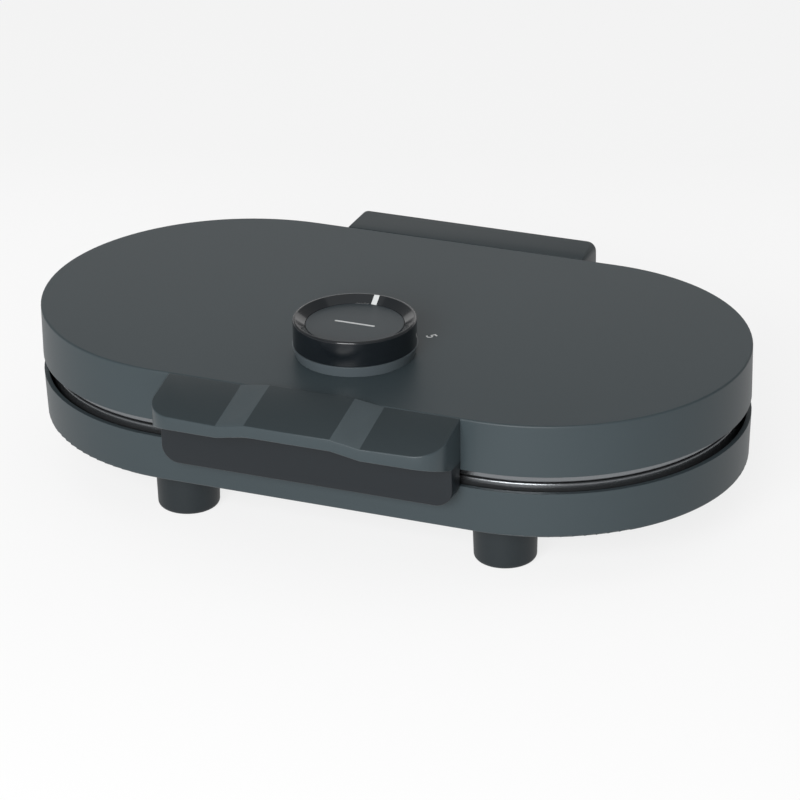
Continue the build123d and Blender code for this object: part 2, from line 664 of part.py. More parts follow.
def bevel_points(depth):
    outer = DIAL_R - DIAL_RIM_R - DIAL_RIM_FLAT
    return [
        (outer, DIAL_TOP_Z),
        (POCKET_R, CAP_TOP_Z),
        (POCKET_R, CAP_TOP_Z - depth),
        (outer, DIAL_TOP_Z - depth),
    ]


def dial_pointer():
    band = revolved(bevel_points(POINTER_DEPTH))
    half = POINTER_WIDTH / 2
    return band & block(-half, half, DIAL_Y, DIAL_Y + DIAL_R, DIAL_BOTTOM_Z, DIAL_TOP_Z)


def dial_ring():
    floor_z = CAP_BOTTOM_Z - DIAL_FLOOR
    inner_r = POCKET_R + DIAL_FLOOR
    points = [
        (SHAFT_R, DIAL_BOTTOM_Z),
        (HUB_R, DIAL_BOTTOM_Z),
        (HUB_R, floor_z),
        (inner_r, floor_z),
        (inner_r, DIAL_BOTTOM_Z),
        (DIAL_R, DIAL_BOTTOM_Z),
        (DIAL_R, DIAL_TOP_Z),
        (DIAL_R - DIAL_RIM_R - DIAL_RIM_FLAT, DIAL_TOP_Z),
        (POCKET_R, CAP_TOP_Z),
        (POCKET_R, CAP_BOTTOM_Z),
        (SHAFT_R, CAP_BOTTOM_Z),
    ]
    ring = revolved(points)
    rim = ring.faces().sort_by(Axis.Z)[-1].edges().sort_by(SortBy.RADIUS)[-1]
    return fillet(rim, DIAL_RIM_R) - dial_pointer()


def dial_cap():
    return rod(CAP_R, CAP_BOTTOM_Z, CAP_TOP_Z, 0, DIAL_Y) - dial_bar()


def dial_bar():
    bar = SlotOverall(BAR_LENGTH, BAR_WIDTH)
    return Pos(0, DIAL_Y, CAP_TOP_Z - BAR_HEIGHT) * extrude(bar, amount=BAR_HEIGHT)


def thermostat_base_z():
    return mirrored_z(LOWER_SKIN_Z)


def thermostat_screw_places():
    return [DIAL_Y - THERMOSTAT_SCREW_REACH, DIAL_Y + THERMOSTAT_SCREW_REACH]


def thermostat_body():
    low = thermostat_base_z() + BRACKET_SHEET
    top = low + THERMOSTAT_HEIGHT
    half_width = THERMOSTAT_WIDTH / 2
    half_length = THERMOSTAT_LENGTH / 2
    body = block(-half_width, half_width, DIAL_Y - half_length, DIAL_Y + half_length, low, top)
    return body - rod(SHAFT_R + PIN_CLEARANCE, top - SHAFT_SINK, top, 0, DIAL_Y)


def thermostat_bracket():
    low = thermostat_base_z()
    half = THERMOSTAT_WIDTH / 2
    reach = THERMOSTAT_FOOT_LENGTH / 2
    sheet = block(-half, half, DIAL_Y - reach, DIAL_Y + reach, low, low + BRACKET_SHEET)
    for y in thermostat_screw_places():
        sheet -= rod(HOLE_R, low, low + BRACKET_SHEET, 0, y)
    return sheet


def thermostat_screws():
    screw = pan_screw(BRACKET_SHEET + THERMOSTAT_SCREW_LENGTH)
    z = thermostat_base_z() + BRACKET_SHEET
    return group(Pos(0, y, z) * screw for y in thermostat_screw_places())


def thermostat_shaft():
    top = thermostat_base_z() + BRACKET_SHEET + THERMOSTAT_HEIGHT
    return rod(SHAFT_R, top - SHAFT_SINK + PIN_CLEARANCE, CAP_BOTTOM_Z, 0, DIAL_Y)


def cord_gland():
    flange = rod_y(GLAND_FLANGE_R, WALL_Y - CASE_WALL, WALL_Y + GLAND_FLANGE, GLAND_X, GLAND_Z)
    flange -= base_outer()
    tube = rod_y(GLAND_TUBE_R, WALL_Y - GLAND_INSIDE, WALL_Y + GLAND_OUTSIDE, GLAND_X, GLAND_Z)
    bore = rod_y(GLAND_BORE_R, WALL_Y - GLAND_INSIDE, WALL_Y + GLAND_OUTSIDE, GLAND_X, GLAND_Z)
    return flange + tube - bore


def cord_gland_nut():
    back = WALL_Y - CASE_WALL - BASE_DRAFT
    base = Plane(origin=(GLAND_X, back - GLAND_NUT_HEIGHT, GLAND_Z), z_dir=(0, 1, 0))
    nut = base * extrude(RegularPolygon(GLAND_NUT_R, 6), amount=GLAND_NUT_HEIGHT)
    return nut - rod_y(GLAND_TUBE_R, back - GLAND_NUT_HEIGHT, back, GLAND_X, GLAND_Z)


def block_screw_places():
    return [BLOCK_X - BLOCK_SCREW_X, BLOCK_X + BLOCK_SCREW_X]


def terminal_block():
    half = BLOCK_LENGTH / 2
    low = BASE_FLOOR_Z
    front = BLOCK_Y - BLOCK_WIDTH / 2
    back = BLOCK_Y + BLOCK_WIDTH / 2
    body = block(BLOCK_X - half, BLOCK_X + half, front, back, low, low + BLOCK_HEIGHT)
    for x in block_screw_places():
        body -= rod(HOLE_R, low, low + BLOCK_HEIGHT, x, BLOCK_Y)
    for step in (-0.5, 0.5):
        x = BLOCK_X + step * BLOCK_HOLE_PITCH
        body -= rod_y(BLOCK_HOLE_R, front, back, x, low + BLOCK_HEIGHT / 2)
    return body


def terminal_block_screws():
    screw = pan_screw(BLOCK_SCREW_LENGTH)
    return group(Pos(x, BLOCK_Y, BASE_FLOOR_Z + BLOCK_HEIGHT) * screw for x in block_screw_places())


def thermal_fuse():
    z = LOWER_SKIN_Z - FUSE_SEAT - FUSE_R
    half = FUSE_LENGTH / 2
    fuse = rod_y(FUSE_R, -half, half, 0, z)
    fuse += rod_y(FUSE_LEAD_R, -half - FUSE_LEAD_LENGTH, half + FUSE_LEAD_LENGTH, 0, z)
    return fuse


def build_all():
    plate = waffle_plate()
    screws = plate_screws()
    heaters = {"left": heater(-1), "right": heater(1)}
    parts = {
        "lower_casing": lower_casing(),
        "upper_casing": upper_casing(),
        "lower_waffle_plate": plate,
        "upper_waffle_plate": upper_waffle_plate(plate),
        "lower_plate_screws": screws,
        "upper_plate_screws": upside_down(screws),
        "lower_reflector": tray(),
        "upper_reflector": upper_tray(),
        "foot_pads": foot_pads(),
        "foot_screws": foot_screws(),
        "rear_hinge_cover": rear_hinge_cover(),
        "rear_cover_screws": rear_cover_screws(),
        "hinge_pins": hinge_pins(),
        "hinge_bracket": hinge_bracket(),
        "hinge_bracket_screws": hinge_bracket_screws(),
        "front_handle": front_handle(),
        "handle_screws": handle_screws(),
        "dial_collar": dial_collar(),
        "dial_ring": dial_ring(),
        "dial_cap": dial_cap(),
        "dial_bar": dial_bar(),
        "dial_pointer": dial_pointer(),
        "thermostat_shaft": thermostat_shaft(),
        "thermostat_body": thermostat_body(),
        "thermostat_bracket": thermostat_bracket(),
        "thermostat_screws": thermostat_screws(),
        "cord_gland": cord_gland(),
        "cord_gland_nut": cord_gland_nut(),
        "terminal_block": terminal_block(),
        "terminal_block_screws": terminal_block_screws(),
        "thermal_fuse": thermal_fuse(),
    }
    for side, tube in heaters.items():
        parts[f"lower_heater_{side}"] = tube
        parts[f"upper_heater_{side}"] = upside_down(tube)
    for x, y in foot_places():
        name = f"foot_{'front' if y < 0 else 'rear'}_{'left' if x < 0 else 'right'}"
        parts[name] = Pos(x, y, 0) * foot()
    return parts


os.makedirs("parts", exist_ok=True)
for node, piece in build_all().items():
    export_step(Pos(0, ORIGIN_SHIFT, 0) * piece, f"parts/{node}.step")
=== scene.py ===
import json
from math import cos, radians, sin

import bmesh
import bpy
from bpy.props import FloatProperty, FloatVectorProperty, IntProperty, PointerProperty
from mathutils import Matrix, Vector


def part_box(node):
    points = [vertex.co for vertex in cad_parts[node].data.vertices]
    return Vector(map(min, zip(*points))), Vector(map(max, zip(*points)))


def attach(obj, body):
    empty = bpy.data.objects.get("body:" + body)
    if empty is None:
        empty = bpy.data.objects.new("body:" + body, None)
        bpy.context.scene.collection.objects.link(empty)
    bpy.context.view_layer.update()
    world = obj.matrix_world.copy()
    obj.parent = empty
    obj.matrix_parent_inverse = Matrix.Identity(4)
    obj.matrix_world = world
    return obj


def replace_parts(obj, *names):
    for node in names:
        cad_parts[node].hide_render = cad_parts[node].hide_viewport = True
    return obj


bl_info = {
    "name": "Double waffle maker",
    "version": (1, 0, 0),
    "blender": (4, 5, 0),
    "location": "3D View > Sidebar > Waffle Maker",
    "description": "Finishes, softened mouldings, numbers and stage for a double waffle maker",
    "category": "Object",
}

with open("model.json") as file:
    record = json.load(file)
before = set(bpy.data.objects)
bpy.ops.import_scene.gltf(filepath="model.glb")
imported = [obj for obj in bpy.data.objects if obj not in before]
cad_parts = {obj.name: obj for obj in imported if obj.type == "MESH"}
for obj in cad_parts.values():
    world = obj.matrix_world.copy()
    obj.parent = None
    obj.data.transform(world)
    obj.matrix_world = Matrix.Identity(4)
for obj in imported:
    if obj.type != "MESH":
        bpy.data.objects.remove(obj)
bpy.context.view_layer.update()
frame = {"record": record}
DIAL_LOW, DIAL_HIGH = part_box("dial_ring")
DIAL_X = (DIAL_LOW[0] + DIAL_HIGH[0]) / 2
DIAL_Y = (DIAL_LOW[1] + DIAL_HIGH[1]) / 2
LID_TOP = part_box("upper_casing")[1][2]

# Depth of the relief in a surface, in metres
POLISHED_RELIEF = 0.00001
TUBE_RELIEF = 0.00002
MOULD_RELIEF = 0.00002
COARSE_RELIEF = 0.00003
RUBBER_RELIEF = 0.00006
CERAMIC_RELIEF = 0.00008

# Radius over which an edge catches the light, in metres
POLISHED_EDGE = 0.0003
METAL_EDGE = 0.0003
RUBBER_EDGE = 0.0004
PLASTIC_EDGE = 0.0005
CERAMIC_EDGE = 0.0005
CAST_EDGE = 0.0006

# How much roughness varies over a surface
PLASTIC_SPREAD = 0.05
FUSE_SPREAD = 0.10
SHEET_SPREAD = 0.12
COATING_SPREAD = 0.12
ZINC_SPREAD = 0.14

# Lines in a metal's surface, per metre along X, Y and Z
SHEET_LINES = (8.0, 900.0, 900.0)
FUSE_LINES = (700.0, 60.0, 700.0)
ZINC_LINES = (600.0, 600.0, 600.0)

# How metallic the plates' coating is, and what their flecks and rims add
COATING_METALLIC = 0.55
FLECK_METALLIC = 0.1
RIM_METALLIC = 0.35
FLECK_SHARE = 0.35
FLECK_LIGHT = 2.6

SOFT_SPECULAR = 0.35
FLOOR_SPECULAR = 0.15
FLOOR_ROUGHNESS = 0.7
WHITE_GLOW = 1.0

# Copied mouldings: points nearer than this are one, faces turned by less are one
MERGE_DISTANCE = 0.000002
FLAT_ANGLE = radians(0.5)

STROKE_STEPS = 6
SENSOR_WIDTH = 36.0

LAMPS = {
    "top_light": {"place": (0.0, -0.4, 2.0), "aim": (0.0, -0.1, 0.0), "size": (2.2, 2.2)},
    "front_light": {"place": (0.16, -1.6, 0.70), "aim": (0.0, 0.0, 0.05), "size": (0.9, 0.8)},
    "back_light": {"place": (-0.12, 0.38, 0.24), "aim": (0.0, 0.0, 0.09), "size": (0.9, 0.14)},
}


def colour_property(name, description, default):
    return FloatVectorProperty(
        name=name, description=description, subtype="COLOR", size=3, min=0.0, max=1.0, default=default
    )


def length_property(name, description, default):
    return FloatProperty(name=name, description=description, unit="LENGTH", min=0.0, default=default)


def angle_property(name, description, degrees):
    return FloatProperty(name=name, description=description, subtype="ANGLE", default=radians(degrees))


def share_property(name, description, default):
    return FloatProperty(
        name=name, description=description, subtype="FACTOR", min=0.0, max=1.0, default=default
    )


def power_property(name, description, default):
    return FloatProperty(name=name, description=description, unit="POWER", default=default)


class MouldingSizes(bpy.types.PropertyGroup):
    handle_edge: length_property("Handle edge", "Radius of the handle's outer edges", 0.0009)
    cover_edge: length_property("Hinge cover edge", "Radius of the rear hinge cover's edges", 0.0012)
    bracket_edge: length_property("Hinge bracket edge", "Radius of the hinge bracket's edges", 0.0008)
    edge_steps: IntProperty(name="Edge steps", description="Faces across a rounded edge", min=1, default=3)
    sharp_angle: angle_property("Sharp from", "Edges that turn by more than this are rounded", 28.0)


class HandleBands(bpy.types.PropertyGroup):
    ramp_start: length_property("Ramp start", "From the handle's middle to a ramp's inner edge", 0.0235)
    ramp_end: length_property("Ramp end", "From the handle's middle to a ramp's outer edge", 0.0395)
    skirt_top: length_property("Skirt top", "Height under which the handle is skirt", 0.0704)
    facing: share_property("Facing", "How far a face must look upwards to be shelf or ramp", 0.85)


class NumberSizes(bpy.types.PropertyGroup):
    height: length_property("Height", "Height of a number", 0.0058)
    ring_radius: length_property("Ring radius", "From the dial's middle to a number's middle", 0.0442)
    weight: FloatProperty(
        name="Weight", description="How far a stroke is thickened, per letter height", default=0.012
    )
    thickness: length_property("Thickness", "Height of the print above the casing", 0.00008)
    count: IntProperty(name="Count", description="Heat settings round the dial", min=2, default=5)
    last_angle: angle_property("Last angle", "Where the last number stands, clockwise from the back", 42.0)
    step_angle: angle_property("Step", "Angle between one number and the next", 26.0)


class FinishSettings(bpy.types.PropertyGroup):
    casing: colour_property("Casing", "Slate grey of the moulded casings", (0.032, 0.045, 0.051))
    casing_roughness: share_property("Casing roughness", "Satin of the moulded casings", 0.46)
    cover: colour_property("Hinge cover", "Slate grey of the rear hinge cover", (0.021, 0.030, 0.034))
    # Painted shade: the handle's upward faces get a darker grey than the casing plastic they are moulded
    # in, standing in for the dark surroundings they reflect.
    shelf: colour_property("Handle shelf", "Slate grey of the handle's shelf", (0.020, 0.029, 0.033))
    # Painted reflection: the two ramps get a lighter grey, standing in for the brighter surroundings that
    # their tilted faces reflect.
    ramp: colour_property("Handle ramps", "Lighter grey of the handle's two ramps", (0.049, 0.064, 0.071))
    # Painted shade: the handle below its lip gets a darker grey, standing in for the shade that the lip
    # casts.
    skirt: colour_property("Handle skirt", "Darker grey under the handle's lip", (0.006, 0.009, 0.012))
    handle_roughness: share_property("Handle roughness", "Satin of the front handle", 0.38)
    foot: colour_property("Feet", "Darker grey of the feet", (0.010, 0.015, 0.018))
    foot_roughness: share_property("Foot roughness", "Matte of the feet", 0.52)
    coating: colour_property("Coating", "Dark non-stick coating of the plates", (0.050, 0.052, 0.056))
    coating_roughness: share_property("Coating roughness", "Gloss of the coating", 0.20)
    rim: colour_property("Plate rim", "Dark polished metal of the plates' outer walls", (0.20, 0.21, 0.22))
    rim_margin: length_property(
        "Rim margin", "How far in from the plate's outline the polished metal goes", 0.0015
    )
    dial: colour_property("Dial", "Polished black of the dial's ring", (0.006, 0.008, 0.010))
    cap: colour_property("Dial cap", "Satin grey of the dial's cap", (0.030, 0.040, 0.046))
    cap_roughness: share_property("Cap roughness", "Satin of the dial's cap", 0.40)
    # Painted light: the ring under the dial gets a lighter grey than the casing plastic it is moulded in,
    # standing in for the light its wall catches.
    collar: colour_property("Collar", "Satin grey of the ring under the dial", (0.075, 0.092, 0.102))
    collar_roughness: share_property("Collar roughness", "Satin of the ring under the dial", 0.34)
    mark: colour_property("Marks", "Light grey of the pointer, bar and numbers", (0.60, 0.62, 0.62))
    zinc: colour_property("Zinc", "Zinc plating on screws and brackets", (0.60, 0.60, 0.61))
    zinc_roughness: share_property("Zinc roughness", "Dullness of the zinc plating", 0.32)
    heater: colour_property("Heater", "Drawn tube of the heaters", (0.35, 0.33, 0.31))
    heat_tint: colour_property("Heat tint", "Brown that the heaters turn in patches", (0.20, 0.13, 0.10))
    sheet: colour_property("Sheet", "Bright sheet of the reflectors and the fuse", (0.78, 0.78, 0.79))
    sheet_roughness: share_property("Sheet roughness", "Gloss of the reflectors", 0.24)
    fuse_roughness: share_property("Fuse roughness", "Satin of the fuse's case", 0.36)
    rubber: colour_property("Rubber", "Black of the rubber pads and the gland", (0.020, 0.021, 0.022))
    gland_roughness: share_property("Gland roughness", "Matte of the gland and its nut", 0.5)
    block: colour_property("Terminal block", "Off-white of the terminal block", (0.70, 0.70, 0.66))
    block_roughness: share_property("Block roughness", "Satin of the terminal block", 0.48)
    ceramic: colour_property("Ceramic", "Unglazed ceramic of the thermostat", (0.75, 0.73, 0.68))


class StageSettings(bpy.types.PropertyGroup):
    focal_length: FloatProperty(
        name="Focal length", description="Lens of the camera in millimetres", min=1.0, default=175.905
    )
    distance: length_property("Camera distance", "From the camera to the point it looks at", 2.091)
    yaw: angle_property("Yaw", "Camera turned from the front", 22.418)
    pitch: angle_property("Pitch", "Camera above the table", 24.97)
    roll: angle_property("Roll", "Camera turned about its line of sight", -0.963)
    target: FloatVectorProperty(
        name="Target", description="Point that the camera looks at", subtype="XYZ", unit="LENGTH",
        default=(0.003994, 0.007, 0.045266),
    )
    floor_size: length_property("Floor size", "Side of the square floor", 12.0)
    floor: colour_property("Floor", "Pale floor", (0.92, 0.92, 0.92))
    floor_lift: share_property("Floor lift", "Share of plain white in the floor as it is seen", 0.80)
    sky_strength: FloatProperty(
        name="Sky", description="Strength of the even light all round", min=0.0, default=0.32
    )
    top_power: power_property("Top light", "Wide light above", 5.0)
    front_power: power_property("Front light", "Light in front", 32.0)
    back_power: power_property("Back light", "Low light behind", 0.30)


class WaffleMakerSettings(bpy.types.PropertyGroup):
    mouldings: PointerProperty(type=MouldingSizes, name="Mouldings", description="Rounded edges")
    bands: PointerProperty(type=HandleBands, name="Handle bands", description="Where its greys change")
    numbers: PointerProperty(type=NumberSizes, name="Numbers", description="Numbers round the dial")
    finishes: PointerProperty(type=FinishSettings, name="Finishes", description="Colours and gloss")
    stage: PointerProperty(type=StageSettings, name="Stage", description="Camera, floor and lights")


class Signal:
    """One output of a node, on which arithmetic adds Math nodes."""

    def __init__(self, recipe, socket):
        self.recipe = recipe
        self.socket = socket

    def output(self, name):
        """Another output of the same node."""
        return Signal(self.recipe, self.socket.node.outputs[name])

    def maths(self, operation, *values):
        return self.recipe.node("ShaderNodeMath", {"operation": operation}, dict(enumerate(values)))

    def at_least(self, other):
        return self.maths("MAXIMUM", self, other)

    def between(self, low, high):
        """From low where this is nought to high where it is one."""
        return self * (high - low) + low

    def around(self, middle, spread):
        return self.between(middle - spread / 2, middle + spread / 2)

    def __add__(self, other):
        return self.maths("ADD", self, other)

    def __radd__(self, other):
        return self.maths("ADD", other, self)

    def __sub__(self, other):
        return self.maths("SUBTRACT", self, other)

    def __rsub__(self, other):
        return self.maths("SUBTRACT", other, self)

    def __mul__(self, other):
        return self.maths("MULTIPLY", self, other)

    def __rmul__(self, other):
        return self.maths("MULTIPLY", other, self)

    def __gt__(self, other):
        return self.maths("GREATER_THAN", self, other)

    def __lt__(self, other):
        return self.maths("LESS_THAN", self, other)

    def __abs__(self):
        return self.maths("ABSOLUTE", self)


class Recipe:
    """A material's node tree and the few steps that every finish is built from."""

    def __init__(self, owner):
        owner.use_nodes = True
        self.owner = owner
        self.tree = owner.node_tree
        self.tree.nodes.clear()

    def node(self, kind, settings=None, inputs=None, output=0):
        made = self.tree.nodes.new(kind)
        for key, value in (settings or {}).items():
            if key == "stops":
                self.set_stops(made.color_ramp, value)
            else:
                setattr(made, key, value)
        for key, value in (inputs or {}).items():
            if isinstance(value, Signal):
                self.tree.links.new(value.socket, made.inputs[key])
            else:
                made.inputs[key].default_value = value
        return Signal(self, made.outputs[output]) if made.outputs else made

    def set_stops(self, ramp, stops):
        while len(ramp.elements) < len(stops):
            ramp.elements.new(1.0)
        for element, (position, value) in zip(ramp.elements, stops):
            element.position = position
            element.color = (value, value, value, 1.0)

    def place(self):
        return self.node("ShaderNodeTexCoord", output="Object")

    def noise(self, scale, detail, place=None):
        inputs = {"Vector": place or self.place(), "Scale": scale, "Detail": detail}
        return self.node("ShaderNodeTexNoise", None, inputs)

    def component(self, vector, axis):
        return self.node("ShaderNodeSeparateXYZ", None, {"Vector": vector}, output=axis)

    def stretched(self, factors):
        return self.node("ShaderNodeMapping", None, {"Vector": self.place(), "Scale": factors})

    def ramp(self, signal, start, end):
        """Nought up to start, one from end on."""
        return self.node("ShaderNodeValToRGB", {"stops": ((start, 0.0), (end, 1.0))}, {0: signal})

    def blend(self, share, first, second):
        inputs = {0: share, 6: opaque(first), 7: opaque(second)}
        return self.node("ShaderNodeMix", {"data_type": "RGBA"}, inputs, output=2)

    def mottled(self, share, colour, darkest, lightest):
        return self.blend(share, shade(colour, darkest), shade(colour, lightest))

    def bump(self, height, distance, normal=None):
        inputs = {"Height": height, "Distance": distance, "Strength": 1.0}
        if normal:
            inputs["Normal"] = normal
        return self.node("ShaderNodeBump", None, inputs)

    def rounded(self, radius):
        return self.node("ShaderNodeBevel", {"samples": 4}, {"Radius": radius})

    def surface(self, inputs):
        shader = self.node("ShaderNodeBsdfPrincipled", None, inputs)
        self.node("ShaderNodeOutputMaterial", None, {"Surface": shader})
        return self.owner


def opaque(colour):
    return colour if isinstance(colour, Signal) else (colour[0], colour[1], colour[2], 1.0)


def shade(colour, factor):
    return [min(1.0, part * factor) for part in colour]


def new_recipe(name):
    return Recipe(bpy.data.materials.new(name))


def cloudy(recipe, colour):
    return recipe.mottled(recipe.noise(scale=9.0, detail=2.0), colour, darkest=0.95, lightest=1.05)


def plastic_surface(recipe, tone, roughness, relief):
    fine = recipe.noise(scale=1500.0, detail=3.0)
    return recipe.surface({
        "Base Color": tone,
        "Roughness": fine.around(roughness, PLASTIC_SPREAD),
        "Specular IOR Level": SOFT_SPECULAR,
        "Normal": recipe.bump(fine, relief, recipe.rounded(PLASTIC_EDGE)),
    })


def moulded_plastic(name, colour, roughness, relief):
    recipe = new_recipe(name)
    return plastic_surface(recipe, cloudy(recipe, colour), roughness, relief)


def banded_plastic(name, finishes, bands):
    """The handle's plastic: the casing's grey on its sides and front, painted shade on its upward faces and
    under its lip, and a painted reflection on its two ramps.
    """
    recipe = new_recipe(name)
    place = recipe.place()
    across = abs(recipe.component(place, "X"))
    flat = recipe.component(place.output("Normal"), "Z") > bands.facing
    # Painted reflection: the lighter grey goes on upward faces within the two ramp bands.
    ramp = (across > bands.ramp_start) * (across < bands.ramp_end) * flat
    # Painted shade: the darker grey goes on the handle below the lip.
    skirt = recipe.component(place, "Z") < bands.skirt_top
    # Painted shade: upward faces get the darker grey, the sides and front keep the casing grey.
    tone = recipe.blend(flat, cloudy(recipe, finishes.casing), cloudy(recipe, finishes.shelf))
    tone = recipe.blend(skirt, tone, cloudy(recipe, finishes.skirt))
    tone = recipe.blend(ramp, tone, cloudy(recipe, finishes.ramp))
    return plastic_surface(recipe, tone, finishes.handle_roughness, MOULD_RELIEF)


def polished_black(name, colour):
    recipe = new_recipe(name)
    film = recipe.noise(scale=60.0, detail=3.0)
    return recipe.surface({
        "Base Color": recipe.mottled(film, colour, darkest=0.8, lightest=1.3),
        "Roughness": film.between(0.10, 0.16),
        "Normal": recipe.rounded(POLISHED_EDGE),
    })


def outer_rim(recipe, low, high, margin):
    """One on the outer wall of a plate with round ends, nought inside it."""
    straight = (high[0] - low[0] - high[1] + low[1]) / 2
    reach = (high[1] - low[1]) / 2 - margin
    place = recipe.place()
    along = (abs(recipe.component(place, "X")) - straight).at_least(0.0)
    across = recipe.component(place, "Y") - (low[1] + high[1]) / 2
    return along * along + across * across > reach * reach


def non_stick_coating(name, finishes):
    """Dark flecked coating, with polished metal on the plates' outer walls."""
    colour = finishes.coating
    recipe = new_recipe(name)
    rim = outer_rim(recipe, *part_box("lower_waffle_plate"), finishes.rim_margin)
    fleck = recipe.noise(scale=2600.0, detail=2.0)
    flow = recipe.noise(scale=45.0, detail=3.0)
    sparkle = recipe.ramp(fleck, start=0.60, end=0.72)
    tone = recipe.mottled(flow, colour, darkest=0.85, lightest=1.15)
    flecked = recipe.blend(sparkle * FLECK_SHARE, tone, shade(colour, FLECK_LIGHT))
    return recipe.surface({
        "Base Color": recipe.blend(rim, flecked, finishes.rim),
        "Metallic": rim * RIM_METALLIC + sparkle * FLECK_METALLIC + COATING_METALLIC,
        "Roughness": flow.around(finishes.coating_roughness, COATING_SPREAD),
        "Normal": recipe.bump(fleck, COARSE_RELIEF, recipe.rounded(CAST_EDGE)),
    })


def worked_metal(name, colour, roughness, line_scale, spread):
    """Metal with fine lines along one direction and a faint stain."""
    recipe = new_recipe(name)
    lines = recipe.noise(scale=1.0, detail=3.0, place=recipe.stretched(line_scale))
    stain = recipe.noise(scale=35.0, detail=3.0)
    return recipe.surface({
        "Base Color": recipe.mottled(stain, colour, darkest=0.86, lightest=1.08),
        "Metallic": 1.0,
        "Roughness": lines.around(roughness, spread) + stain.around(0.0, spread),
        "Normal": recipe.bump(lines, POLISHED_RELIEF, recipe.rounded(METAL_EDGE)),
    })


def heat_tinted_tube(name, colour, tint):
    recipe = new_recipe(name)
    patch = recipe.noise(scale=28.0, detail=4.0)
    drawn = recipe.noise(scale=900.0, detail=2.0)
    return recipe.surface({
        "Base Color": recipe.blend(recipe.ramp(patch, start=0.40, end=0.66), colour, tint),
        "Metallic": 1.0,
        "Roughness": patch.between(0.26, 0.46),
        "Normal": recipe.bump(drawn, TUBE_RELIEF),
    })


def rubber(name, colour):
    recipe = new_recipe(name)
    dust = recipe.noise(scale=420.0, detail=4.0)
    return recipe.surface({
        "Base Color": recipe.mottled(dust, colour, darkest=0.8, lightest=1.6),
        "Roughness": dust.between(0.62, 0.77),
        "Specular IOR Level": SOFT_SPECULAR,
        "Normal": recipe.bump(dust, RUBBER_RELIEF, recipe.rounded(RUBBER_EDGE)),
    })


def fired_ceramic(name, colour):
    recipe = new_recipe(name)
    pores = recipe.noise(scale=1100.0, detail=4.0)
    solid = recipe.ramp(pores, start=0.35, end=0.48)
    return recipe.surface({
        "Base Color": recipe.mottled(solid, colour, darkest=0.72, lightest=1.0),
        "Roughness": solid.between(0.90, 0.78),
        "Normal": recipe.bump(pores, CERAMIC_RELIEF, recipe.rounded(CERAMIC_EDGE)),
    })


def printed_ink(name, colour):
    recipe = new_recipe(name)
    screen = recipe.noise(scale=2200.0, detail=2.0)
    return recipe.surface({
        "Base Color": recipe.mottled(screen, colour, darkest=0.93, lightest=1.04),
        "Roughness": screen.between(0.38, 0.48),
    })


def floor_paper(name, stage):
    """Pale paper, nearly white where it is seen or reflected, that keeps its shadow."""
    recipe = new_recipe(name)
    haze = recipe.noise(scale=0.8, detail=1.0)
    paper = recipe.node("ShaderNodeBsdfPrincipled", None, {
        "Base Color": recipe.mottled(haze, stage.floor, darkest=0.99, lightest=1.01),
        "Roughness": FLOOR_ROUGHNESS,
        "Specular IOR Level": FLOOR_SPECULAR,
    })
    camera_ray = recipe.node("ShaderNodeLightPath", output="Is Camera Ray")
    seen = camera_ray + camera_ray.output("Is Glossy Ray") + camera_ray.output("Is Transmission Ray")
    glow = recipe.node("ShaderNodeEmission", None, {"Strength": WHITE_GLOW})
    lifted = recipe.node("ShaderNodeMixShader", None, {0: seen * stage.floor_lift, 1: paper, 2: glow})
    recipe.node("ShaderNodeOutputMaterial", None, {"Surface": lifted})
    return recipe.owner


def dress(node, material):
    for slot in bpy.data.objects[node].material_slots:
        slot.material = material


def dress_slot(slot_name, material):
    nodes = [part["node"] for part in frame["record"]["subparts"] if part["material_slot"] == slot_name]
    if not nodes:
        raise RuntimeError("no node has the slot " + slot_name)
    for node in nodes:
        dress(node, material)


def show(name, mesh):
    piece = bpy.data.objects.new(name, mesh)
    bpy.context.scene.collection.objects.link(piece)
    return piece


def new_piece(name, mesh, material, body):
    mesh.materials.clear()
    mesh.materials.append(material)
    piece = show(name, mesh)
    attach(piece, body)
    return piece


def is_outer_edge(edge, angle):
    return edge.is_manifold and edge.is_convex and edge.calc_face_angle() > angle


def softened_copy(node, name, radius, sizes):
    """The node's mesh as whole faces, with its sharp outer edges rounded."""
    work = bmesh.new()
    work.from_mesh(bpy.data.objects[node].data)
    bmesh.ops.remove_doubles(work, verts=work.verts, dist=MERGE_DISTANCE)
    bmesh.ops.dissolve_limit(
        work, angle_limit=FLAT_ANGLE, use_dissolve_boundaries=False, verts=work.verts, edges=work.edges
    )
    sharp = [edge for edge in work.edges if is_outer_edge(edge, sizes.sharp_angle)]
    bmesh.ops.bevel(
        work, geom=sharp, offset=radius, offset_type="OFFSET", segments=sizes.edge_steps,
        profile=0.5, affect="EDGES", clamp_overlap=True, material=-1,
    )
    for face in work.faces:
        face.smooth = True
    mesh = bpy.data.meshes.new(name)
    work.to_mesh(mesh)
    work.free()
    mesh.set_sharp_from_angle(angle=sizes.sharp_angle)
    return mesh


def replace_moulding(node, radius, sizes, body):
    name = node + "_moulding"
    mesh = softened_copy(node, name, radius, sizes)
    material = bpy.data.objects[node].material_slots[0].material
    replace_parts(new_piece(name, mesh, material, body), node)


def number_mesh(text, sizes):
    """A printed number, its middle at the origin, its underside level with it."""
    curve = bpy.data.curves.new("number", "FONT")
    curve.body = text
    curve.offset = sizes.weight
    curve.extrude = sizes.thickness / 2
    curve.resolution_u = STROKE_STEPS
    holder = show("number", curve)
    bpy.context.view_layer.update()
    mesh = bpy.data.meshes.new_from_object(holder.evaluated_get(bpy.context.evaluated_depsgraph_get()))
    bpy.data.objects.remove(holder)
    bpy.data.curves.remove(curve)
    lows = [min(vertex.co[axis] for vertex in mesh.vertices) for axis in range(2)]
    highs = [max(vertex.co[axis] for vertex in mesh.vertices) for axis in range(2)]
    scale = sizes.height / (highs[1] - lows[1])
    centre = Matrix.Translation((-(lows[0] + highs[0]) / 2, -(lows[1] + highs[1]) / 2, sizes.thickness / 2))
    mesh.transform(Matrix.Diagonal((scale, scale, 1.0, 1.0)) @ centre)
    return mesh


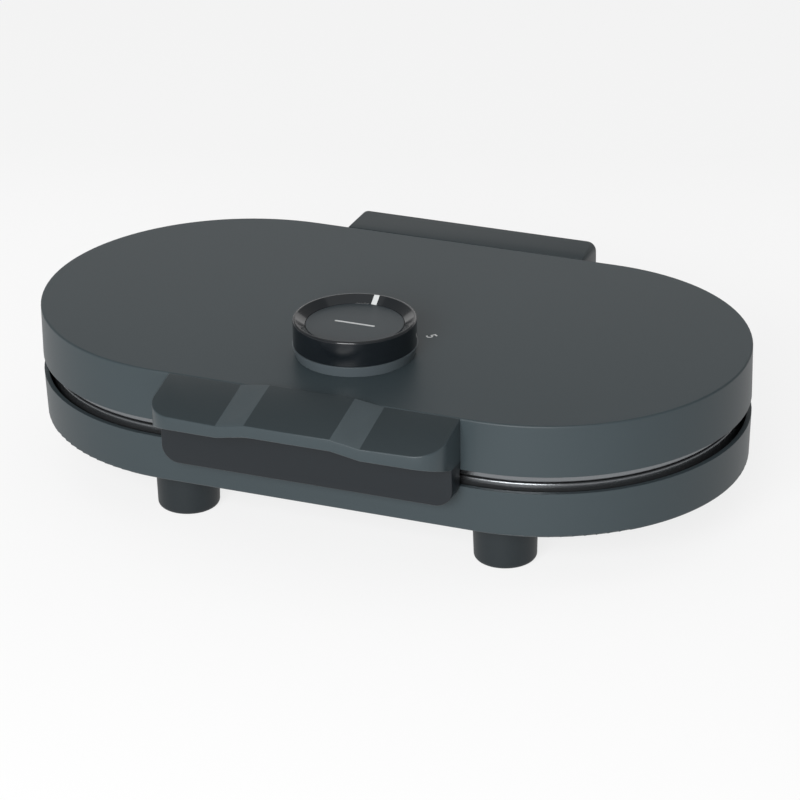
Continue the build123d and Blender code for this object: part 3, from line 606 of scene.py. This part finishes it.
def camera_matrix(stage):
    """Yaw from the front, pitch above the table, then roll about the line of sight."""
    back = Vector((sin(stage.yaw) * cos(stage.pitch), -cos(stage.yaw) * cos(stage.pitch), sin(stage.pitch)))
    right = (-back).cross(Vector((0.0, 0.0, 1.0))).normalized()
    up = right.cross(-back)
    turned_right = right * cos(stage.roll) + up * sin(stage.roll)
    turned_up = up * cos(stage.roll) - right * sin(stage.roll)
    turn = Matrix((turned_right, turned_up, back)).transposed().to_4x4()
    return Matrix.Translation(Vector(stage.target) + back * stage.distance) @ turn


def area_light(name, power, place, aim, size):
    lamp = bpy.data.lights.new(name, "AREA")
    lamp.shape = "RECTANGLE"
    lamp.size, lamp.size_y = size
    lamp.energy = power
    light = show(name, lamp)
    light.location = place
    light.rotation_euler = (Vector(aim) - Vector(place)).to_track_quat("-Z", "Y").to_euler()
    light.visible_camera = False


def make_camera(stage):
    lens = bpy.data.cameras.new("camera")
    lens.sensor_width = SENSOR_WIDTH
    lens.lens = stage.focal_length
    camera = show("camera", lens)
    camera.matrix_world = camera_matrix(stage)
    bpy.context.scene.camera = camera


def make_sky(stage):
    world = bpy.data.worlds.new("studio")
    bpy.context.scene.world = world
    recipe = Recipe(world)
    inputs = {"Color": (1.0, 1.0, 1.0, 1.0), "Strength": stage.sky_strength}
    light = recipe.node("ShaderNodeBackground", None, inputs)
    recipe.node("ShaderNodeOutputWorld", None, {"Surface": light})


def make_floor(stage):
    work = bmesh.new()
    bmesh.ops.create_grid(work, x_segments=1, y_segments=1, size=stage.floor_size / 2)
    mesh = bpy.data.meshes.new("floor")
    work.to_mesh(mesh)
    work.free()
    mesh.materials.append(floor_paper("floor_paper", stage))
    show("floor", mesh)


class WAFFLE_OT_casings(bpy.types.Operator):
    """Give both casings and the pieces moulded with them their satin slate grey."""

    bl_idname = "waffle.casings"
    bl_label = "Casings"

    def execute(self, context):
        finishes = context.scene.waffle_maker.finishes
        satin = finishes.casing_roughness
        dress_slot("casing_grey", moulded_plastic("casing_plastic", finishes.casing, satin, MOULD_RELIEF))
        dress("rear_hinge_cover", moulded_plastic("cover_plastic", finishes.cover, satin, MOULD_RELIEF))
        return {"FINISHED"}


class WAFFLE_OT_feet(bpy.types.Operator):
    """Give the feet their dark plastic and the pads their rubber."""

    bl_idname = "waffle.feet"
    bl_label = "Feet"

    def execute(self, context):
        finishes = context.scene.waffle_maker.finishes
        plastic = moulded_plastic("foot_plastic", finishes.foot, finishes.foot_roughness, COARSE_RELIEF)
        dress_slot("foot_grey", plastic)
        dress_slot("pad_rubber", rubber("pad_rubber", finishes.rubber))
        return {"FINISHED"}


class WAFFLE_OT_plates(bpy.types.Operator):
    """Coat both waffle plates and polish their outer walls."""

    bl_idname = "waffle.plates"
    bl_label = "Waffle plates"

    def execute(self, context):
        finishes = context.scene.waffle_maker.finishes
        dress_slot("plate_coating", non_stick_coating("plate_coating", finishes))
        return {"FINISHED"}


class WAFFLE_OT_dial(bpy.types.Operator):
    """Finish the dial's ring, cap, pointer and bar, and give the ring under it a grey painted lighter for
    the light on its wall.
    """

    bl_idname = "waffle.dial"
    bl_label = "Heat dial"

    def execute(self, context):
        finishes = context.scene.waffle_maker.finishes
        dress_slot("dial_black", polished_black("dial_black", finishes.dial))
        cap = moulded_plastic("cap_plastic", finishes.cap, finishes.cap_roughness, POLISHED_RELIEF)
        dress_slot("cap_grey", cap)
        dress_slot("mark_silver", printed_ink("mark_ink", finishes.mark))
        satin = finishes.collar_roughness
        # Painted light: the ring under the dial is lighter for the light its wall catches.
        dress("dial_collar", moulded_plastic("collar_plastic", finishes.collar, satin, POLISHED_RELIEF))
        return {"FINISHED"}


class WAFFLE_OT_numbers(bpy.types.Operator):
    """Print the heat settings round the dial, their tops outwards."""

    bl_idname = "waffle.numbers"
    bl_label = "Numbers"

    def execute(self, context):
        sizes = context.scene.waffle_maker.numbers
        ink = bpy.data.materials["mark_ink"]
        for number in range(1, sizes.count + 1):
            angle = sizes.last_angle - (sizes.count - number) * sizes.step_angle
            mesh = number_mesh(str(number), sizes)
            outwards = Vector((sin(angle), cos(angle), 0.0)) * sizes.ring_radius
            middle = Vector((DIAL_X, DIAL_Y, LID_TOP)) + outwards
            mesh.transform(Matrix.Translation(middle) @ Matrix.Rotation(-angle, 4, "Z"))
            new_piece(f"number_{number}", mesh, ink, "lid")
        return {"FINISHED"}


class WAFFLE_OT_heating(bpy.types.Operator):
    """Finish the heaters, their reflectors, the thermostat and the fuse."""

    bl_idname = "waffle.heating"
    bl_label = "Heating"

    def execute(self, context):
        finishes = context.scene.waffle_maker.finishes
        bright = finishes.sheet
        dress_slot("heater_steel", heat_tinted_tube("heater_tube", finishes.heater, finishes.heat_tint))
        sheet = worked_metal("reflector_sheet", bright, finishes.sheet_roughness, SHEET_LINES, SHEET_SPREAD)
        dress_slot("reflector_aluminium", sheet)
        dress_slot("thermostat_ceramic", fired_ceramic("thermostat_ceramic", finishes.ceramic))
        fuse = worked_metal("fuse_metal", bright, finishes.fuse_roughness, FUSE_LINES, FUSE_SPREAD)
        dress_slot("fuse_silver", fuse)
        return {"FINISHED"}


class WAFFLE_OT_fasteners(bpy.types.Operator):
    """Give screws, pins, shaft and bracket their zinc plating."""

    bl_idname = "waffle.fasteners"
    bl_label = "Fasteners"

    def execute(self, context):
        finishes = context.scene.waffle_maker.finishes
        zinc = worked_metal("zinc_plating", finishes.zinc, finishes.zinc_roughness, ZINC_LINES, ZINC_SPREAD)
        dress_slot("zinc_steel", zinc)
        return {"FINISHED"}


class WAFFLE_OT_inlet(bpy.types.Operator):
    """Finish the cord gland, its nut and the terminal block."""

    bl_idname = "waffle.inlet"
    bl_label = "Mains inlet"

    def execute(self, context):
        finishes = context.scene.waffle_maker.finishes
        gland = moulded_plastic("gland_plastic", finishes.rubber, finishes.gland_roughness, COARSE_RELIEF)
        block = moulded_plastic("block_plastic", finishes.block, finishes.block_roughness, MOULD_RELIEF)
        dress_slot("gland_black", gland)
        dress_slot("block_white", block)
        return {"FINISHED"}


class WAFFLE_OT_handle(bpy.types.Operator):
    """Round the front handle's edges and give it painted shade on its top and under its lip, and a painted
    reflection on its two ramps.
    """

    bl_idname = "waffle.handle"
    bl_label = "Front handle"

    def execute(self, context):
        settings = context.scene.waffle_maker
        sizes = settings.mouldings
        dress("front_handle", banded_plastic("handle_plastic", settings.finishes, settings.bands))
        replace_moulding("front_handle", sizes.handle_edge, sizes, "lid")
        return {"FINISHED"}


class WAFFLE_OT_hinge(bpy.types.Operator):
    """Round the edges of the hinge cover and the hinge bracket."""

    bl_idname = "waffle.hinge"
    bl_label = "Hinge"

    def execute(self, context):
        sizes = context.scene.waffle_maker.mouldings
        replace_moulding("rear_hinge_cover", sizes.cover_edge, sizes, "lid")
        replace_moulding("hinge_bracket", sizes.bracket_edge, sizes, "base")
        return {"FINISHED"}


class WAFFLE_OT_stage(bpy.types.Operator):
    """Set the camera, the pale floor and the soft lights."""

    bl_idname = "waffle.stage"
    bl_label = "Stage"

    def execute(self, context):
        stage = context.scene.waffle_maker.stage
        make_camera(stage)
        make_sky(stage)
        make_floor(stage)
        area_light("top_light", stage.top_power, **LAMPS["top_light"])
        area_light("front_light", stage.front_power, **LAMPS["front_light"])
        area_light("back_light", stage.back_power, **LAMPS["back_light"])
        context.scene.view_settings.view_transform = "Standard"
        return {"FINISHED"}


OPERATORS = (
    WAFFLE_OT_casings,
    WAFFLE_OT_feet,
    WAFFLE_OT_plates,
    WAFFLE_OT_dial,
    WAFFLE_OT_numbers,
    WAFFLE_OT_heating,
    WAFFLE_OT_fasteners,
    WAFFLE_OT_inlet,
    WAFFLE_OT_handle,
    WAFFLE_OT_hinge,
    WAFFLE_OT_stage,
)


class WAFFLE_PT_panel(bpy.types.Panel):
    """Lists the waffle maker's operators in the order they are run."""

    bl_label = "Waffle Maker"
    bl_idname = "WAFFLE_PT_panel"
    bl_space_type = "VIEW_3D"
    bl_region_type = "UI"
    bl_category = "Waffle Maker"

    def draw(self, context):
        for operator in OPERATORS:
            self.layout.operator(operator.bl_idname)


CLASSES = (
    MouldingSizes,
    HandleBands,
    NumberSizes,
    FinishSettings,
    StageSettings,
    WaffleMakerSettings,
) + OPERATORS + (WAFFLE_PT_panel,)


def register():
    for kind in CLASSES:
        bpy.utils.register_class(kind)
    bpy.types.Scene.waffle_maker = PointerProperty(type=WaffleMakerSettings)


def unregister():
    del bpy.types.Scene.waffle_maker
    for kind in reversed(CLASSES):
        bpy.utils.unregister_class(kind)


def main():
    register()
    for operator in OPERATORS:
        group, name = operator.bl_idname.split(".")
        getattr(getattr(bpy.ops, group), name)()


if __name__ == "__main__":
    main()
